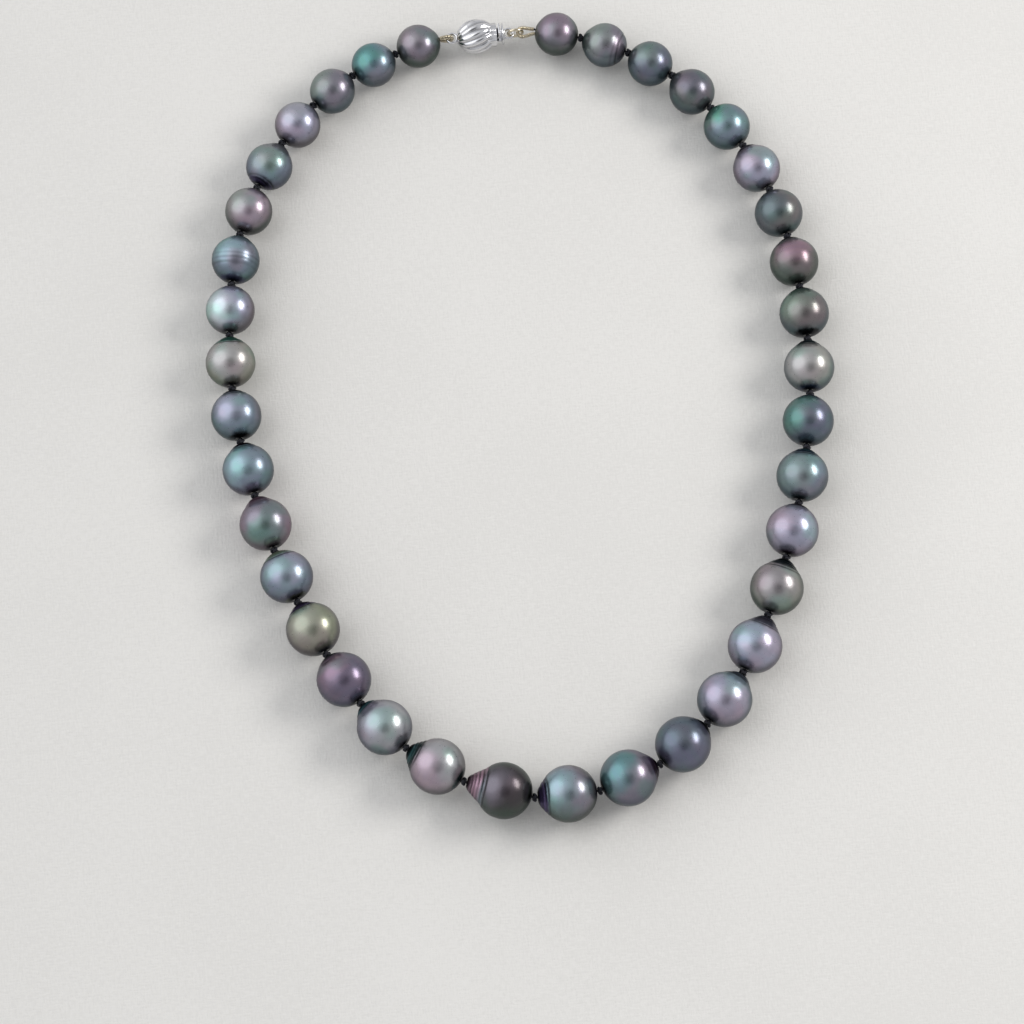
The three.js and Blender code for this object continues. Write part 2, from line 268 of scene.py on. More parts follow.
def objectPlace(tree, centre=(0, 0, 0), turn=(0, 0, 0), size=1.0):  # Object coordinates from a centre
    where = addNode(tree, "ShaderNodeTexCoord").outputs["Object"]
    mapping = addNode(tree, "ShaderNodeMapping", vector_type="TEXTURE")
    feed(tree, mapping.inputs["Vector"], where)
    mapping.inputs["Location"].default_value = centre
    mapping.inputs["Rotation"].default_value = turn
    mapping.inputs["Scale"].default_value = (size, size, size)
    return mapping.outputs["Vector"]


def addBump(tree, shader, height, distance, strength):
    bump = addNode(tree, "ShaderNodeBump")
    feed(tree, bump.inputs["Height"], height)
    bump.inputs["Distance"].default_value = distance
    bump.inputs["Strength"].default_value = strength
    feed(tree, shader.inputs["Normal"], bump.outputs["Normal"])


nacrePattern = {  # distances in radii; an edge is where a step starts and where it ends
    "cloudScale": 1.1,
    "flankShadeDrift": 0.6,  # how far the clouds move the edge of the painted flank shade
    # the flank keys set painted shade: lower down, the colour turns to the rim's darker overtone and is
    # darkened
    "flankShadeEdge": (0.05, 0.88),
    "flankShadeShare": 0.85,
    "flankShade": 0.45,
    # the patch is partly another overtone and partly painted reflection
    "patchDrift": 0.8,
    "patchEdge": (0.35, 1.0),
    "orientScale": 0.8,
    "pinkEdge": (0.50, 0.70),
    "greenEdge": (0.48, 0.30),
    "orientShare": 0.3,
    "lineStretch": (0.25, 3.0, 0.25),
    "lineScale": 2.4,
    "lineHue": 0.10,
    "speckScale": 7.0,
    "fineRoughness": 0.6,  # of the noise in the lines and the specks
    "mottle": 0.12,
    "darkest": 0.92,
    "bandScale": 1.1,
    "bandEdge": (0.42, 0.62),
    "ragged": 0.10,
    "tailBands": 0.55,
    "tailFade": 0.07,
    # the blunt cap is partly the pearl's own dark end and partly painted shade at the knot
    "bluntBands": 0.35,
    "bluntFade": 0.09,
    # round the holes the ends darken, partly their own dark skin and partly painted shade at the knots; the
    # grooves take painted shade
    "drilledEdge": (0.22, 0.42),
    "holeDarkAndShadeShare": 0.9,
    "grooveShadeShare": 0.85,
    "smoothest": 0.22,
    "speckRough": 0.16,
    "grooveRough": 0.15,
    "grainScale": 14.0,
    "grainHeight": 0.3,
    "lineHeight": 0.8,
    "bumpDistance": 0.00001,
    "bumpStrength": 0.12,
    "seedStep": (1.7, 0.9, 2.3),  # from each pearl's noise to the next one's
}


def nacreSkinGroup():  # Place is in radii from the belly, Y towards the tail and Z up
    group, given, out = newGroup(
        "nacreSkin",
        (
            ("Place", "Vector"), ("Seed", "Vector"), ("Body", "Color"), ("Rim", "Color"),
            ("Patch", "Color"), ("PatchWay", "Vector"), ("PatchShare", "Float"),
            ("Accent", "Color"), ("TailCap", "Color"), ("TailStart", "Float"),
            ("BluntCap", "Color"), ("BluntStart", "Float"), ("Groove", "Float"),
        ),
        (("Colour", "Color"), ("Roughness", "Float"), ("Height", "Float")),
    )
    place, look = given["Place"], nacrePattern
    moved = addNode(group, "ShaderNodeVectorMath", operation="ADD")
    feed(group, moved.inputs[0], place)
    feed(group, moved.inputs[1], given["Seed"])
    moved = moved.outputs[0]
    cloud = noiseAt(group, moved, look["cloudScale"])
    drift = maths(group, "SUBTRACT", cloud, 0.5)
    axes = addNode(group, "ShaderNodeSeparateXYZ")
    feed(group, axes.inputs[0], place)
    across, along, height = axes.outputs

    # painted shade: lower down the flanks the colour turns to the rim's darker overtone
    level = maths(group, "MULTIPLY_ADD", drift, look["flankShadeDrift"], height)
    lowerFlankShade = maths(group, "SUBTRACT", 1.0, stepBetween(group, level, *look["flankShadeEdge"]))
    rimShadeShare = maths(group, "MULTIPLY", lowerFlankShade, look["flankShadeShare"])
    colour = mixTones(group, rimShadeShare, given["Body"], given["Rim"])

    # one side, a way fixed in the room, carries a patch that is partly another overtone and partly painted
    # reflection
    facing = addNode(group, "ShaderNodeVectorMath", operation="DOT_PRODUCT")
    feed(group, facing.inputs[0], place)
    feed(group, facing.inputs[1], given["PatchWay"])
    turned = maths(group, "MULTIPLY_ADD", drift, look["patchDrift"], facing.outputs["Value"])
    overtoneAndReflection = maths(group, "MULTIPLY", stepBetween(group, turned, *look["patchEdge"]), given["PatchShare"])
    colour = mixTones(group, overtoneAndReflection, colour, given["Patch"])

    # pink and green orient drift over the whole skin
    orient = noiseAt(group, moved, look["orientScale"], 1)
    for edge, name in (("pinkEdge", "rose"), ("greenEdge", "emerald")):
        share = stepBetween(group, orient, *look[edge], look["orientShare"])
        colour = mixTones(group, share, colour, tone(name), "COLOR")

    # growth lines round the drilled axis
    stretch = addNode(group, "ShaderNodeVectorMath", operation="MULTIPLY")
    feed(group, stretch.inputs[0], moved)
    stretch.inputs[1].default_value = look["lineStretch"]
    lines = noiseAt(group, stretch.outputs[0], look["lineScale"], 3, look["fineRoughness"])
    speck = noiseAt(group, moved, look["speckScale"], 3, look["fineRoughness"])
    both = maths(group, "ADD", lines, speck)
    shade = maths(group, "MULTIPLY_ADD", both, look["mottle"], look["darkest"])
    # painted shade: the lower flanks are darkened
    flankShade = maths(group, "MULTIPLY_ADD", lowerFlankShade, -look["flankShade"], 1.0)
    shade = maths(group, "MULTIPLY", shade, flankShade)
    hue = maths(group, "MULTIPLY_ADD", maths(group, "SUBTRACT", lines, 0.5), look["lineHue"], 0.5)
    lively = addNode(group, "ShaderNodeHueSaturation")
    feed(group, lively.inputs["Hue"], hue)
    feed(group, lively.inputs["Saturation"], 1.0)
    feed(group, lively.inputs["Value"], shade)
    feed(group, lively.inputs["Color"], colour)
    colour = lively.outputs["Color"]

    # ringed caps at both ends; the blunt cap is partly the pearl's own dark end and partly painted shade at
    # the knot
    bands = stepBetween(group, noiseAt(group, stretch.outputs[0], look["bandScale"], 1), *look["bandEdge"])
    towards = maths(group, "MULTIPLY_ADD", maths(group, "SUBTRACT", speck, 0.5), look["ragged"], along)
    away = maths(group, "MULTIPLY", towards, -1.0)
    for end, distance in (("Tail", towards), ("Blunt", away)):
        banded = maths(group, "MULTIPLY", bands, look[end.lower() + "Bands"])
        cap = mixTones(group, banded, given[end + "Cap"], given["Accent"])
        start = given[end + "Start"]
        full = maths(group, "ADD", start, look[end.lower() + "Fade"])
        colour = mixTones(group, stepBetween(group, distance, start, full), colour, cap)

    # painted shade in the grooves and the scratch; round the drilled holes the ends are darkened, partly
    # their own dark skin and partly painted shade where pearl and knot meet
    squares = maths(group, "MULTIPLY_ADD", across, across, maths(group, "MULTIPLY", height, height))
    fromAxis = maths(group, "SQRT", squares)
    drilled = maths(group, "SUBTRACT", 1.0, stepBetween(group, fromAxis, *look["drilledEdge"]))
    # painted shade in the grooves; round the holes, dark ends and painted shade at the knots
    for mask, share in ((drilled, look["holeDarkAndShadeShare"]), (given["Groove"], look["grooveShadeShare"])):
        colour = mixTones(group, maths(group, "MULTIPLY", mask, share), colour, tone("ink"))

    feed(group, out["Colour"], colour)
    rough = maths(group, "MULTIPLY_ADD", speck, look["speckRough"], look["smoothest"])
    feed(group, out["Roughness"], maths(group, "MULTIPLY_ADD", given["Groove"], look["grooveRough"], rough))
    grain = noiseAt(group, moved, look["grainScale"], 1)
    ridges = maths(group, "MULTIPLY", lines, look["lineHeight"])
    feed(group, out["Height"], maths(group, "MULTIPLY_ADD", grain, look["grainHeight"], ridges))
    return group


nacreFinish = {
    "Metallic": 0.8,
    "Specular_IOR_Level": 0.6,
    "Specular_Tint": (0.62, 0.62, 0.62, 1),  # how much the rim still reflects
    "Coat_Weight": 0.3,
    "Coat_Roughness": 0.18,
    "Coat_IOR": 1.5,
    "Thin_Film_Thickness": 380.0,
    "Thin_Film_IOR": 1.5,
}

# One row for each pearl, from the clasp's ball round to its tongue. "rim" is the overtone down the flanks,
# darkened there as painted shade; "way" is where a patch faces, seen from above, the patch being partly
# overtone and partly painted reflection;
# a cap starts that many radii from the belly, and a blunt cap is partly painted shade at the knot; rings are
# grooves, at radii from the belly.
pearlLooks = [
    dict(body="mauve", rim="moss", overtoneAndReflection="champagne", way=(-0.6, 0.3), share=0.3),
    dict(body="steel", rim="petrol", overtoneAndReflection="teal", way=(-0.5, 0.2), share=0.85, blunt=("ink", 0.93)),
    dict(body="mauve", rim="petrol", overtoneAndReflection="sage", way=(-0.7, 0.3), share=0.5, blunt=("ink", 0.90)),
    dict(body="lilac", rim="bronze", overtoneAndReflection="silver", way=(-0.3, 0.6), share=0.5, blunt=("plum", 0.93)),
    dict(body="steel", rim="slate", overtoneAndReflection="sage", way=(0.0, 0.4), share=0.6, accent="violet",
         blunt=("indigo", 0.78), bluntRings=(0.80, 0.90)),
    dict(body="blush", rim="moss", overtoneAndReflection="sage", way=(-0.7, 0.3), share=0.55, blunt=("plum", 0.94)),
    dict(body="steel", rim="petrol", overtoneAndReflection="ice", way=(-0.3, 0.6), share=0.9, accent="slate",
         tail=("ink", 0.90), blunt=("indigo", 0.80), bluntRings=(0.02, 0.22, 0.42)),
    dict(body="lilac", rim="bronze", overtoneAndReflection="pearlWhite", way=(-0.8, 0.0), share=0.8),
    dict(body="champagne", rim="olive", overtoneAndReflection="silver", way=(-0.4, 0.0), share=0.5, accent="pine",
         tail=("emerald", 0.66), tailRings=(0.68, 0.96), blunt=("plum", 0.90)),
    dict(body="steel", rim="petrol", overtoneAndReflection="lilac", way=(-0.3, 0.5), share=0.8, accent="teal",
         tail=("plum", 0.78), tailRings=(0.79, 0.90, 1.0), blunt=("ink", 0.84)),
    dict(body="steel", rim="slate", overtoneAndReflection="ice", way=(-0.6, 0.1), share=0.7, accent="plum",
         tail=("ink", 0.82), tailRings=(0.83, 0.95), blunt=("plum", 0.90)),
    dict(body="mauve", rim="rose", overtoneAndReflection="emerald", way=(0.0, -0.85), share=0.4, accent="rose",
         tail=("plum", 0.84), tailRings=(0.96,), blunt=("pine", 0.90)),
    dict(body="steel", rim="slate", overtoneAndReflection="lilac", way=(-0.1, 0.4), share=0.8, accent="olive",
         tail=("sage", 0.68), tailRings=(0.68, 0.98), blunt=("ink", 0.86)),
    dict(body="olive", rim="bronze", overtoneAndReflection="champagne", way=(-0.5, 0.1), share=0.4, accent="violet",
         tail=("ink", 0.76), tailRings=(0.78, 0.94), blunt=("moss", 0.90)),
    dict(body="aubergine", rim="slate", overtoneAndReflection="rose", way=(-0.7, 0.3), share=0.5, accent="moss",
         tail=("pine", 0.88), blunt=("plum", 0.92), scratch=(-0.25, 0.75)),
    dict(body="silver", rim="slate", overtoneAndReflection="lilac", way=(-0.6, 0.2), share=0.5, accent="teal",
         tail=("indigo", 0.90), tailRings=(0.93,), blunt=("ink", 0.91)),
    dict(body="silver", rim="bronze", overtoneAndReflection="blush", way=(-0.6, -0.4), share=0.7, accent="teal",
         tail=("pine", 0.74), tailRings=(0.74, 0.86, 0.96, 1.06), blunt=("pine", 0.84)),
    dict(body="umber", rim="moss", overtoneAndReflection="mauve", way=(-0.6, 0.2), share=0.5, accent="teal",
         tail=("rose", 0.64), tailRings=(0.64, 0.78, 0.92, 1.05, 1.16), blunt=("ink", 0.86)),
    dict(body="mauve", rim="moss", overtoneAndReflection="ice", way=(-0.6, 0.3), share=0.8, accent="violet",
         tail=("indigo", 0.72), tailRings=(0.74, 0.84, 0.96), blunt=("ink", 0.88)),
    dict(body="mauve", rim="slate", overtoneAndReflection="teal", way=(-0.6, 0.2), share=0.8, accent="violet",
         tail=("plum", 0.82), tailRings=(0.96,), blunt=("pine", 0.93)),
    dict(body="slate", rim="slate", overtoneAndReflection="petrol", way=(0.1, 0.6), share=0.6, tail=("ink", 0.88),
         tailRings=(0.95,), blunt=("moss", 0.92)),
    dict(body="lilac", rim="petrol", overtoneAndReflection="blush", way=(0.2, -0.5), share=0.4, accent="steel",
         tail=("ink", 0.82), tailRings=(0.96,), blunt=("plum", 0.88)),
    dict(body="lilac", rim="mauve", overtoneAndReflection="ice", way=(-0.1, 0.1), share=0.4, accent="slate",
         tail=("plum", 0.70), tailRings=(0.70, 0.98), blunt=("petrol", 0.92)),
    dict(body="champagne", rim="moss", overtoneAndReflection="mauve", way=(-0.1, 0.1), share=0.5, accent="pine",
         tail=("ink", 0.74), tailRings=(0.62, 0.76, 0.88, 0.98), blunt=("slate", 0.92)),
    dict(body="lilac", rim="mauve", overtoneAndReflection="blush", way=(-0.6, 0.5), share=0.6, accent="violet",
         tail=("plum", 0.84), tailRings=(0.86,), blunt=("plum", 0.88)),
    dict(body="steel", rim="petrol", overtoneAndReflection="sage", way=(-0.4, 0.0), share=0.4, accent="teal",
         tail=("indigo", 0.75), tailRings=(0.70, 0.80, 0.92), blunt=("plum", 0.88)),
    dict(body="slate", rim="petrol", overtoneAndReflection="emerald", way=(-0.6, 0.3), share=0.6, accent="steel",
         tail=("indigo", 0.86), tailRings=(0.88,), blunt=("ink", 0.86)),
    dict(body="champagne", rim="petrol", overtoneAndReflection="silver", way=(-0.5, 0.1), share=0.5, tail=("ink", 0.80),
         tailRings=(0.82, 0.94), blunt=("indigo", 0.84)),
    dict(body="bronze", rim="petrol", overtoneAndReflection="sage", way=(-0.6, 0.3), share=0.5, tail=("pine", 0.86),
         blunt=("ink", 0.80)),
    dict(body="bronze", rim="moss", overtoneAndReflection="rose", way=(0.0, 0.7), share=0.8, accent="pine",
         tail=("ink", 0.88), tailRings=(0.90,), blunt=("ink", 0.93)),
    dict(body="bronze", rim="petrol", overtoneAndReflection="petrol", way=(-0.6, 0.2), share=0.7, blunt=("pine", 0.90)),
    dict(body="lilac", rim="mauve", overtoneAndReflection="blush", way=(-0.3, 0.5), share=0.7, tail=("ink", 0.86),
         tailRings=(0.90,), blunt=("pine", 0.94)),
    dict(body="steel", rim="petrol", overtoneAndReflection="emerald", way=(-0.6, 0.6), share=0.9, blunt=("ink", 0.93)),
    dict(body="bronze", rim="petrol", overtoneAndReflection="slate", way=(0.1, 0.1), share=0.6, blunt=("ink", 0.90)),
    dict(body="slate", rim="petrol", overtoneAndReflection="sage", way=(-0.3, 0.4), share=0.5, blunt=("ink", 0.92)),
    dict(body="mauve", rim="petrol", overtoneAndReflection="sage", way=(-0.5, 0.3), share=0.5, accent="rose",
         blunt=("ink", 0.92), bluntRings=(0.5, 0.7)),
    dict(body="mauve", rim="moss", overtoneAndReflection="rose", way=(0.0, 0.3), share=0.3, blunt=("pine", 0.93)),
]

pearlShape = {
    "rows": 92,
    "sides": 88,
    "boreRadius": 0.0005,
    "tailShoulder": 0.7,  # radians from the hole to where a tail leaves the round body
    "tailHollow": 1.6,
    "rowCrowding": 0.12,  # rows lie closer together at the tail
    "grooveWidth": 0.033,  # in radii
    "grooveDepth": 0.000085,
    "bodyEdge": 0.6,  # in radii; a groove nearer the belly is wide and faint
    "bodyWidening": 1.6,
    "bodyFade": 0.3,
    "capFade": 0.75,
    "ringFading": 0.33,  # a ring is deeper on two sides
    "ringTilt": 0.022,
    "ringRipple": 0.008,
    "scratchSize": (0.16, 0.025),
    "faceKept": 1.05,  # times the flat spot's radius, left as it is drilled
    "faceBlend": 0.15,
    "lumps": 0.006,
    "lumpScale": 1.2,
    "lumpLoss": 0.2,
    "growth": 0.0012,
    "growthScale": 9,
    "seedStep": 0.618,
}


def pearlOutline(pearl):
    radius, edge = pearl["radius"], pearl["drillAngle"]
    shoulder = math.cos(pearlShape["tailShoulder"])
    outline = []
    for row in range(pearlShape["rows"] + 1):
        share = row / pearlShape["rows"]
        share += pearlShape["rowCrowding"] * math.sin(math.pi * share)
        angle = math.pi - edge - share * (math.pi - 2 * edge)
        past = max(math.cos(angle) - shoulder, 0) / (math.cos(edge) - shoulder)
        along = radius * math.cos(angle) + pearl["tail"] * past ** pearlShape["tailHollow"]
        outline.append((radius * math.sin(angle), along))
    bore = pearlShape["boreRadius"]
    return outline + [(bore, outline[-1][1]), (bore, outline[0][1])]


def shapeSkin(bm, pearl, look, seed):  # grooves, growth lines and a slight want of roundness
    radius, shape = pearl["radius"], pearlShape
    groove = bm.verts.layers.float.new("groove")
    cuts = [*look.get("tailRings", ()), *[-at for at in look.get("bluntRings", ())]]
    shift = Vector((seed, 0, seed))
    kept, blend = shape["faceKept"] * stringing["drillFace"], shape["faceBlend"] * radius
    bm.normal_update()
    for vert in bm.verts:
        free = min(max((math.hypot(vert.co.x, vert.co.z) - kept) / blend, 0), 1)
        around = math.atan2(vert.co.z, vert.co.x)
        along = vert.co.y / radius + shape["ringTilt"] * math.sin(around + seed)
        along += shape["ringRipple"] * math.sin(3 * around + 2 * seed)
        depth = 0.0
        for at in cuts:
            onBody = abs(at) < shape["bodyEdge"]
            width = shape["grooveWidth"] * (shape["bodyWidening"] if onBody else 1)
            fade = shape["bodyFade"] if onBody else shape["capFade"]
            fade *= 1 + shape["ringFading"] * math.sin(2 * around + 7 * at)
            depth = max(depth, fade * math.exp(-(((along - at) / width) ** 2)))
        if "scratch" in look and vert.co.z > 0:
            away = Vector(look["scratch"]) - vert.co.xy / radius
            long, wide = shape["scratchSize"]
            depth = max(depth, math.exp(-((away.x / long) ** 2) - (away.y / wide) ** 2))
        vert[groove] = depth * free
        lump = noise.noise(vert.co / radius * shape["lumpScale"] + shift) - shape["lumpLoss"]
        line = noise.noise(Vector((0, shape["growthScale"] * along, seed)))
        swell = radius * (lump * shape["lumps"] + line * shape["growth"])
        vert.co += vert.normal * free * (swell - depth * shape["grooveDepth"])


def nacreMaterial(number, pearl, look, skin):
    material, tree, shader = newMaterial(f"nacre{number:02d}", **nacreFinish)
    turn = pearl["turn"]
    place = objectPlace(tree, pearl["belly"], turn.to_euler(), pearl["radius"])
    # the patch's way is fixed in the room, so its painted reflection lies on the same side of every pearl
    seen = Vector((*look["way"], 0))
    seen.z = math.sqrt(max(1 - seen.length_squared, 0.05))
    groove = addNode(tree, "ShaderNodeAttribute", attribute_name="groove").outputs["Fac"]
    noCap = ("ink", 2.0)  # 2 radii is past every tail
    tail, blunt = look.get("tail", noCap), look.get("blunt", noCap)
    # the rim colour is the overtone, painted darker down the flanks as shade
    node = placeGroup(
        tree, skin, Place=place, Seed=[number * step for step in nacrePattern["seedStep"]],
        Body=tone(look["body"]), Rim=tone(look["rim"]), Patch=tone(look["overtoneAndReflection"]),
        PatchWay=turn.transposed() @ seen.normalized(), PatchShare=look["share"],
        Accent=tone(look.get("accent", look["rim"])), TailCap=tone(tail[0]), TailStart=tail[1],
        BluntCap=tone(blunt[0]), BluntStart=blunt[1], Groove=groove,
    )
    feed(tree, shader.inputs["Base Color"], node.outputs["Colour"])
    feed(tree, shader.inputs["Roughness"], node.outputs["Roughness"])
    bump = nacrePattern["bumpDistance"], nacrePattern["bumpStrength"]
    addBump(tree, shader, node.outputs["Height"], *bump)
    return material


pearls = [pearlPlace(number) for number in range(1, stringing["pearls"] + 1)]
skin = nacreSkinGroup()
for number, (pearl, look) in enumerate(zip(pearls, pearlLooks), 1):
    bm = spinOutline(pearlOutline(pearl), pearlShape["sides"], closed=True)
    shapeSkin(bm, pearl, look, number * pearlShape["seedStep"])
    place = Matrix.Translation(pearl["belly"]) @ pearl["turn"].to_4x4()
    material = nacreMaterial(number, pearl, look, skin)
    finishPiece(f"nacre_pearl_{number:02d}", bm, material, pearl["node"], [pearl["node"]], place)
print("pearls turned")


silkThread = {
    "threadRadius": 0.00028,
    "threadSides": 18,
    "plies": 3,
    "plyDepth": 0.00006,
    "plyCrease": 4,  # a higher power is a narrower crease
    "turnsPerPearl": 7,
    "stepsPerTurn": 14,
    "knotStrand": 0.00024,
    "knotScale": 0.000225,  # one unit of the trefoil
    "knotRise": 1.05,  # the knot is drawn up between the pearls
    "knotPoints": 60,
    "knotSides": 8,
    "knotTurn": 2.4,  # radians from each knot to the next
}
silkFinish = {"Specular_IOR_Level": 0.25, "Sheen_Weight": 0.12, "Sheen_Roughness": 0.4}
silkPattern = {
    "unit": 0.001,
    "fibreScale": 9.0,
    "fibreRoughness": 0.7,
    "fibreEdge": (0.35, 0.75),
    "wornScale": 1.6,
    "wornShare": 0.2,
    "roughness": (0.5, 0.3),  # the least, and how much the fibres add
    "bumpDistance": 0.00005,
    "bumpStrength": 0.6,
}


def silkMaterial():
    material, tree, shader = newMaterial("blackSilk", **silkFinish)
    place = objectPlace(tree, size=silkPattern["unit"])
    fibre = noiseAt(tree, place, silkPattern["fibreScale"], 4, silkPattern["fibreRoughness"])
    worn = noiseAt(tree, place, silkPattern["wornScale"])
    colour = mixTones(tree, stepBetween(tree, fibre, *silkPattern["fibreEdge"]), tone("ink"), tone("silk"))
    colour = mixTones(tree, maths(tree, "MULTIPLY", worn, silkPattern["wornShare"]), colour, tone("slate"))
    feed(tree, shader.inputs["Base Color"], colour)
    least, added = silkPattern["roughness"]
    feed(tree, shader.inputs["Roughness"], maths(tree, "MULTIPLY_ADD", fibre, added, least))
    addBump(tree, shader, fibre, silkPattern["bumpDistance"], silkPattern["bumpStrength"])
    return material


def twistedThread(length):  # three plies, twisted as the outline moves along
    bm = bmesh.new()
    radius = silkThread["threadRadius"]
    bmesh.ops.create_circle(bm, segments=silkThread["threadSides"], radius=radius, cap_ends=False)
    for vert in bm.verts:
        around = math.atan2(vert.co.y, vert.co.x)
        crease = abs(math.sin(silkThread["plies"] * around / 2)) ** silkThread["plyCrease"]
        vert.co *= 1 - silkThread["plyDepth"] * crease / radius
    steps = silkThread["turnsPerPearl"] * silkThread["stepsPerTurn"]
    bmesh.ops.spin(
        bm, geom=bm.verts[:] + bm.edges[:], cent=(0, 0, 0), axis=(0, 0, 1), dvec=(0, 0, length / steps),
        angle=2 * math.pi * silkThread["turnsPerPearl"], steps=steps, use_merge=False,
    )
    bmesh.ops.holes_fill(bm, edges=[edge for edge in bm.edges if edge.is_boundary], sides=0)
    bmesh.ops.recalc_face_normals(bm, faces=bm.faces)
    return bm


def trefoilKnot():  # a closed trefoil drawn up round the thread, its axis along Z
    points = []
    for step in range(silkThread["knotPoints"]):
        turn = 2 * math.pi * step / silkThread["knotPoints"]
        points.append(Vector((
            math.sin(turn) + 2 * math.sin(2 * turn),
            math.cos(turn) - 2 * math.cos(2 * turn),
            -math.sin(3 * turn) * silkThread["knotRise"],
        )) * silkThread["knotScale"])
    return tubeAlong(points, silkThread["knotStrand"], silkThread["knotSides"], cyclic=True)


silk = silkMaterial()
alongZ = Matrix.Rotation(-math.pi / 2, 3, "X")  # takes local Z to local Y
for number, pearl in enumerate(pearls, 1):
    blunt, tip = pearl["ends"]
    bm = twistedThread((tip - blunt).length)
    place = Matrix.Translation(blunt) @ (pearl["turn"] @ alongZ).to_4x4()
    finishPiece(f"thread_{number:02d}", bm, silk, pearl["node"], ["silk_thread"], place)
for number in range(1, stringing["pearls"]):
    before = (linkEnds[number] - linkEnds[number - 1]).normalized()
    after = (linkEnds[number + 1] - linkEnds[number]).normalized()
    spun = Matrix.Rotation(silkThread["knotTurn"] * number, 3, "Z")
    turn = frameAlong((before + after).normalized()) @ alongZ @ spun
    place = Matrix.Translation(linkEnds[number]) @ turn.to_4x4()
    rider = number + 1 if number < stringing["lastLeftTail"] else number  # the pearl nearer the centre
    body = pearls[rider - 1]["node"]
    finishPiece(f"knot_{number:02d}", trefoilKnot(), silk, body, ["silk_thread"], place)
print("thread knotted")


wireShape = {"radius": 0.0003, "loopRadius": 0.001, "ringRadius": 0.00145, "sides": 20, "segments": 64}
ballShape = {
    "diameter": 0.007,
    "length": 0.0082,
    "wall": 0.0006,
    "collar": 0.00045,
    "mouth": 0.0019965,
    "flutes": 12,
    "fluteDepth": 0.00038,
    "fluteTwist": 1.1,  # radians from end to end
    "fluteFade": 0.0006,
    "mouthLand": 0.0009,  # plain band before the mouth
    "poleFlat": 0.0004,
    "lipRound": 0.0001,
    "firstAngle": 0.06,  # radians from the pole to the first ring of points
    "skinMargin": 0.03,  # tells the outer skin from the inner one, in radii
    "rows": 48,
    "innerRows": 16,
    "sides": 144,
    "poleToLoop": 0.0009,
}
polishPattern = {
    "unit": 0.001,
    "dentScale": 0.9,
    "lineStretch": (1.0, 9.0, 2.0),
    "lineScale": 3.0,
    "lineRoughness": 0.7,
    "blurEdge": (0.5, 0.75),
    "blurShare": 0.2,
    "hollowDull": 0.75,
    "smoothest": 0.08,
    "lineRough": 0.12,
    "hollowRough": 0.2,
    "lineHeight": 0.15,
    "bumpDistance": 0.00003,
    "bumpStrength": 0.3,
}


def metalGroup():  # polish lines, soft dents and tarnish in the hollows
    group, given, out = newGroup(
        "wornPolish",
        (("Place", "Vector"), ("Hollow", "Float"), ("Tint", "Color")),
        (("Colour", "Color"), ("Roughness", "Float"), ("Height", "Float")),
    )
    look = polishPattern
    dents = noiseAt(group, given["Place"], look["dentScale"])
    stretch = addNode(group, "ShaderNodeVectorMath", operation="MULTIPLY")
    feed(group, stretch.inputs[0], given["Place"])
    stretch.inputs[1].default_value = look["lineStretch"]
    lines = noiseAt(group, stretch.outputs[0], look["lineScale"], 4, look["lineRoughness"])
    blurred = stepBetween(group, dents, *look["blurEdge"], look["blurShare"])
    dull = maths(group, "MULTIPLY_ADD", given["Hollow"], look["hollowDull"], blurred)
    feed(group, out["Colour"], mixTones(group, dull, given["Tint"], tone("wornMetal")))
    rough = maths(group, "MULTIPLY_ADD", lines, look["lineRough"], look["smoothest"])
    feed(group, out["Roughness"], maths(group, "MULTIPLY_ADD", given["Hollow"], look["hollowRough"], rough))
    scratches = maths(group, "MULTIPLY", lines, look["lineHeight"])
    feed(group, out["Height"], maths(group, "ADD", dents, scratches))
    return group


def metalMaterial(name, centre, polish, tint="whiteMetal"):
    material, tree, shader = newMaterial(name, Metallic=1.0)
    hollow = addNode(tree, "ShaderNodeAttribute", attribute_name="hollow").outputs["Fac"]
    place = objectPlace(tree, centre, size=polishPattern["unit"])
    node = placeGroup(tree, polish, Place=place, Hollow=hollow, Tint=tone(tint))
    feed(tree, shader.inputs["Base Color"], node.outputs["Colour"])
    feed(tree, shader.inputs["Roughness"], node.outputs["Roughness"])
    bump = polishPattern["bumpDistance"], polishPattern["bumpStrength"]
    addBump(tree, shader, node.outputs["Height"], *bump)
    return material


def wireRing(radius):  # a ring of round wire in the local XY plane
    bm = bmesh.new()
    bmesh.ops.create_circle(bm, segments=wireShape["sides"], radius=wireShape["radius"], cap_ends=False)
    bmesh.ops.rotate(bm, verts=bm.verts, cent=(0, 0, 0), matrix=Matrix.Rotation(math.pi / 2, 3, "X"))
    bmesh.ops.translate(bm, verts=bm.verts, vec=(radius, 0, 0))
    bmesh.ops.spin(
        bm, geom=bm.verts[:] + bm.edges[:], cent=(0, 0, 0), axis=(0, 0, 1), dvec=(0, 0, 0),
        angle=2 * math.pi, steps=wireShape["segments"], use_merge=True,
    )
    bmesh.ops.remove_doubles(bm, verts=bm.verts, dist=1e-7)
    bmesh.ops.recalc_face_normals(bm, faces=bm.faces)
    return bm


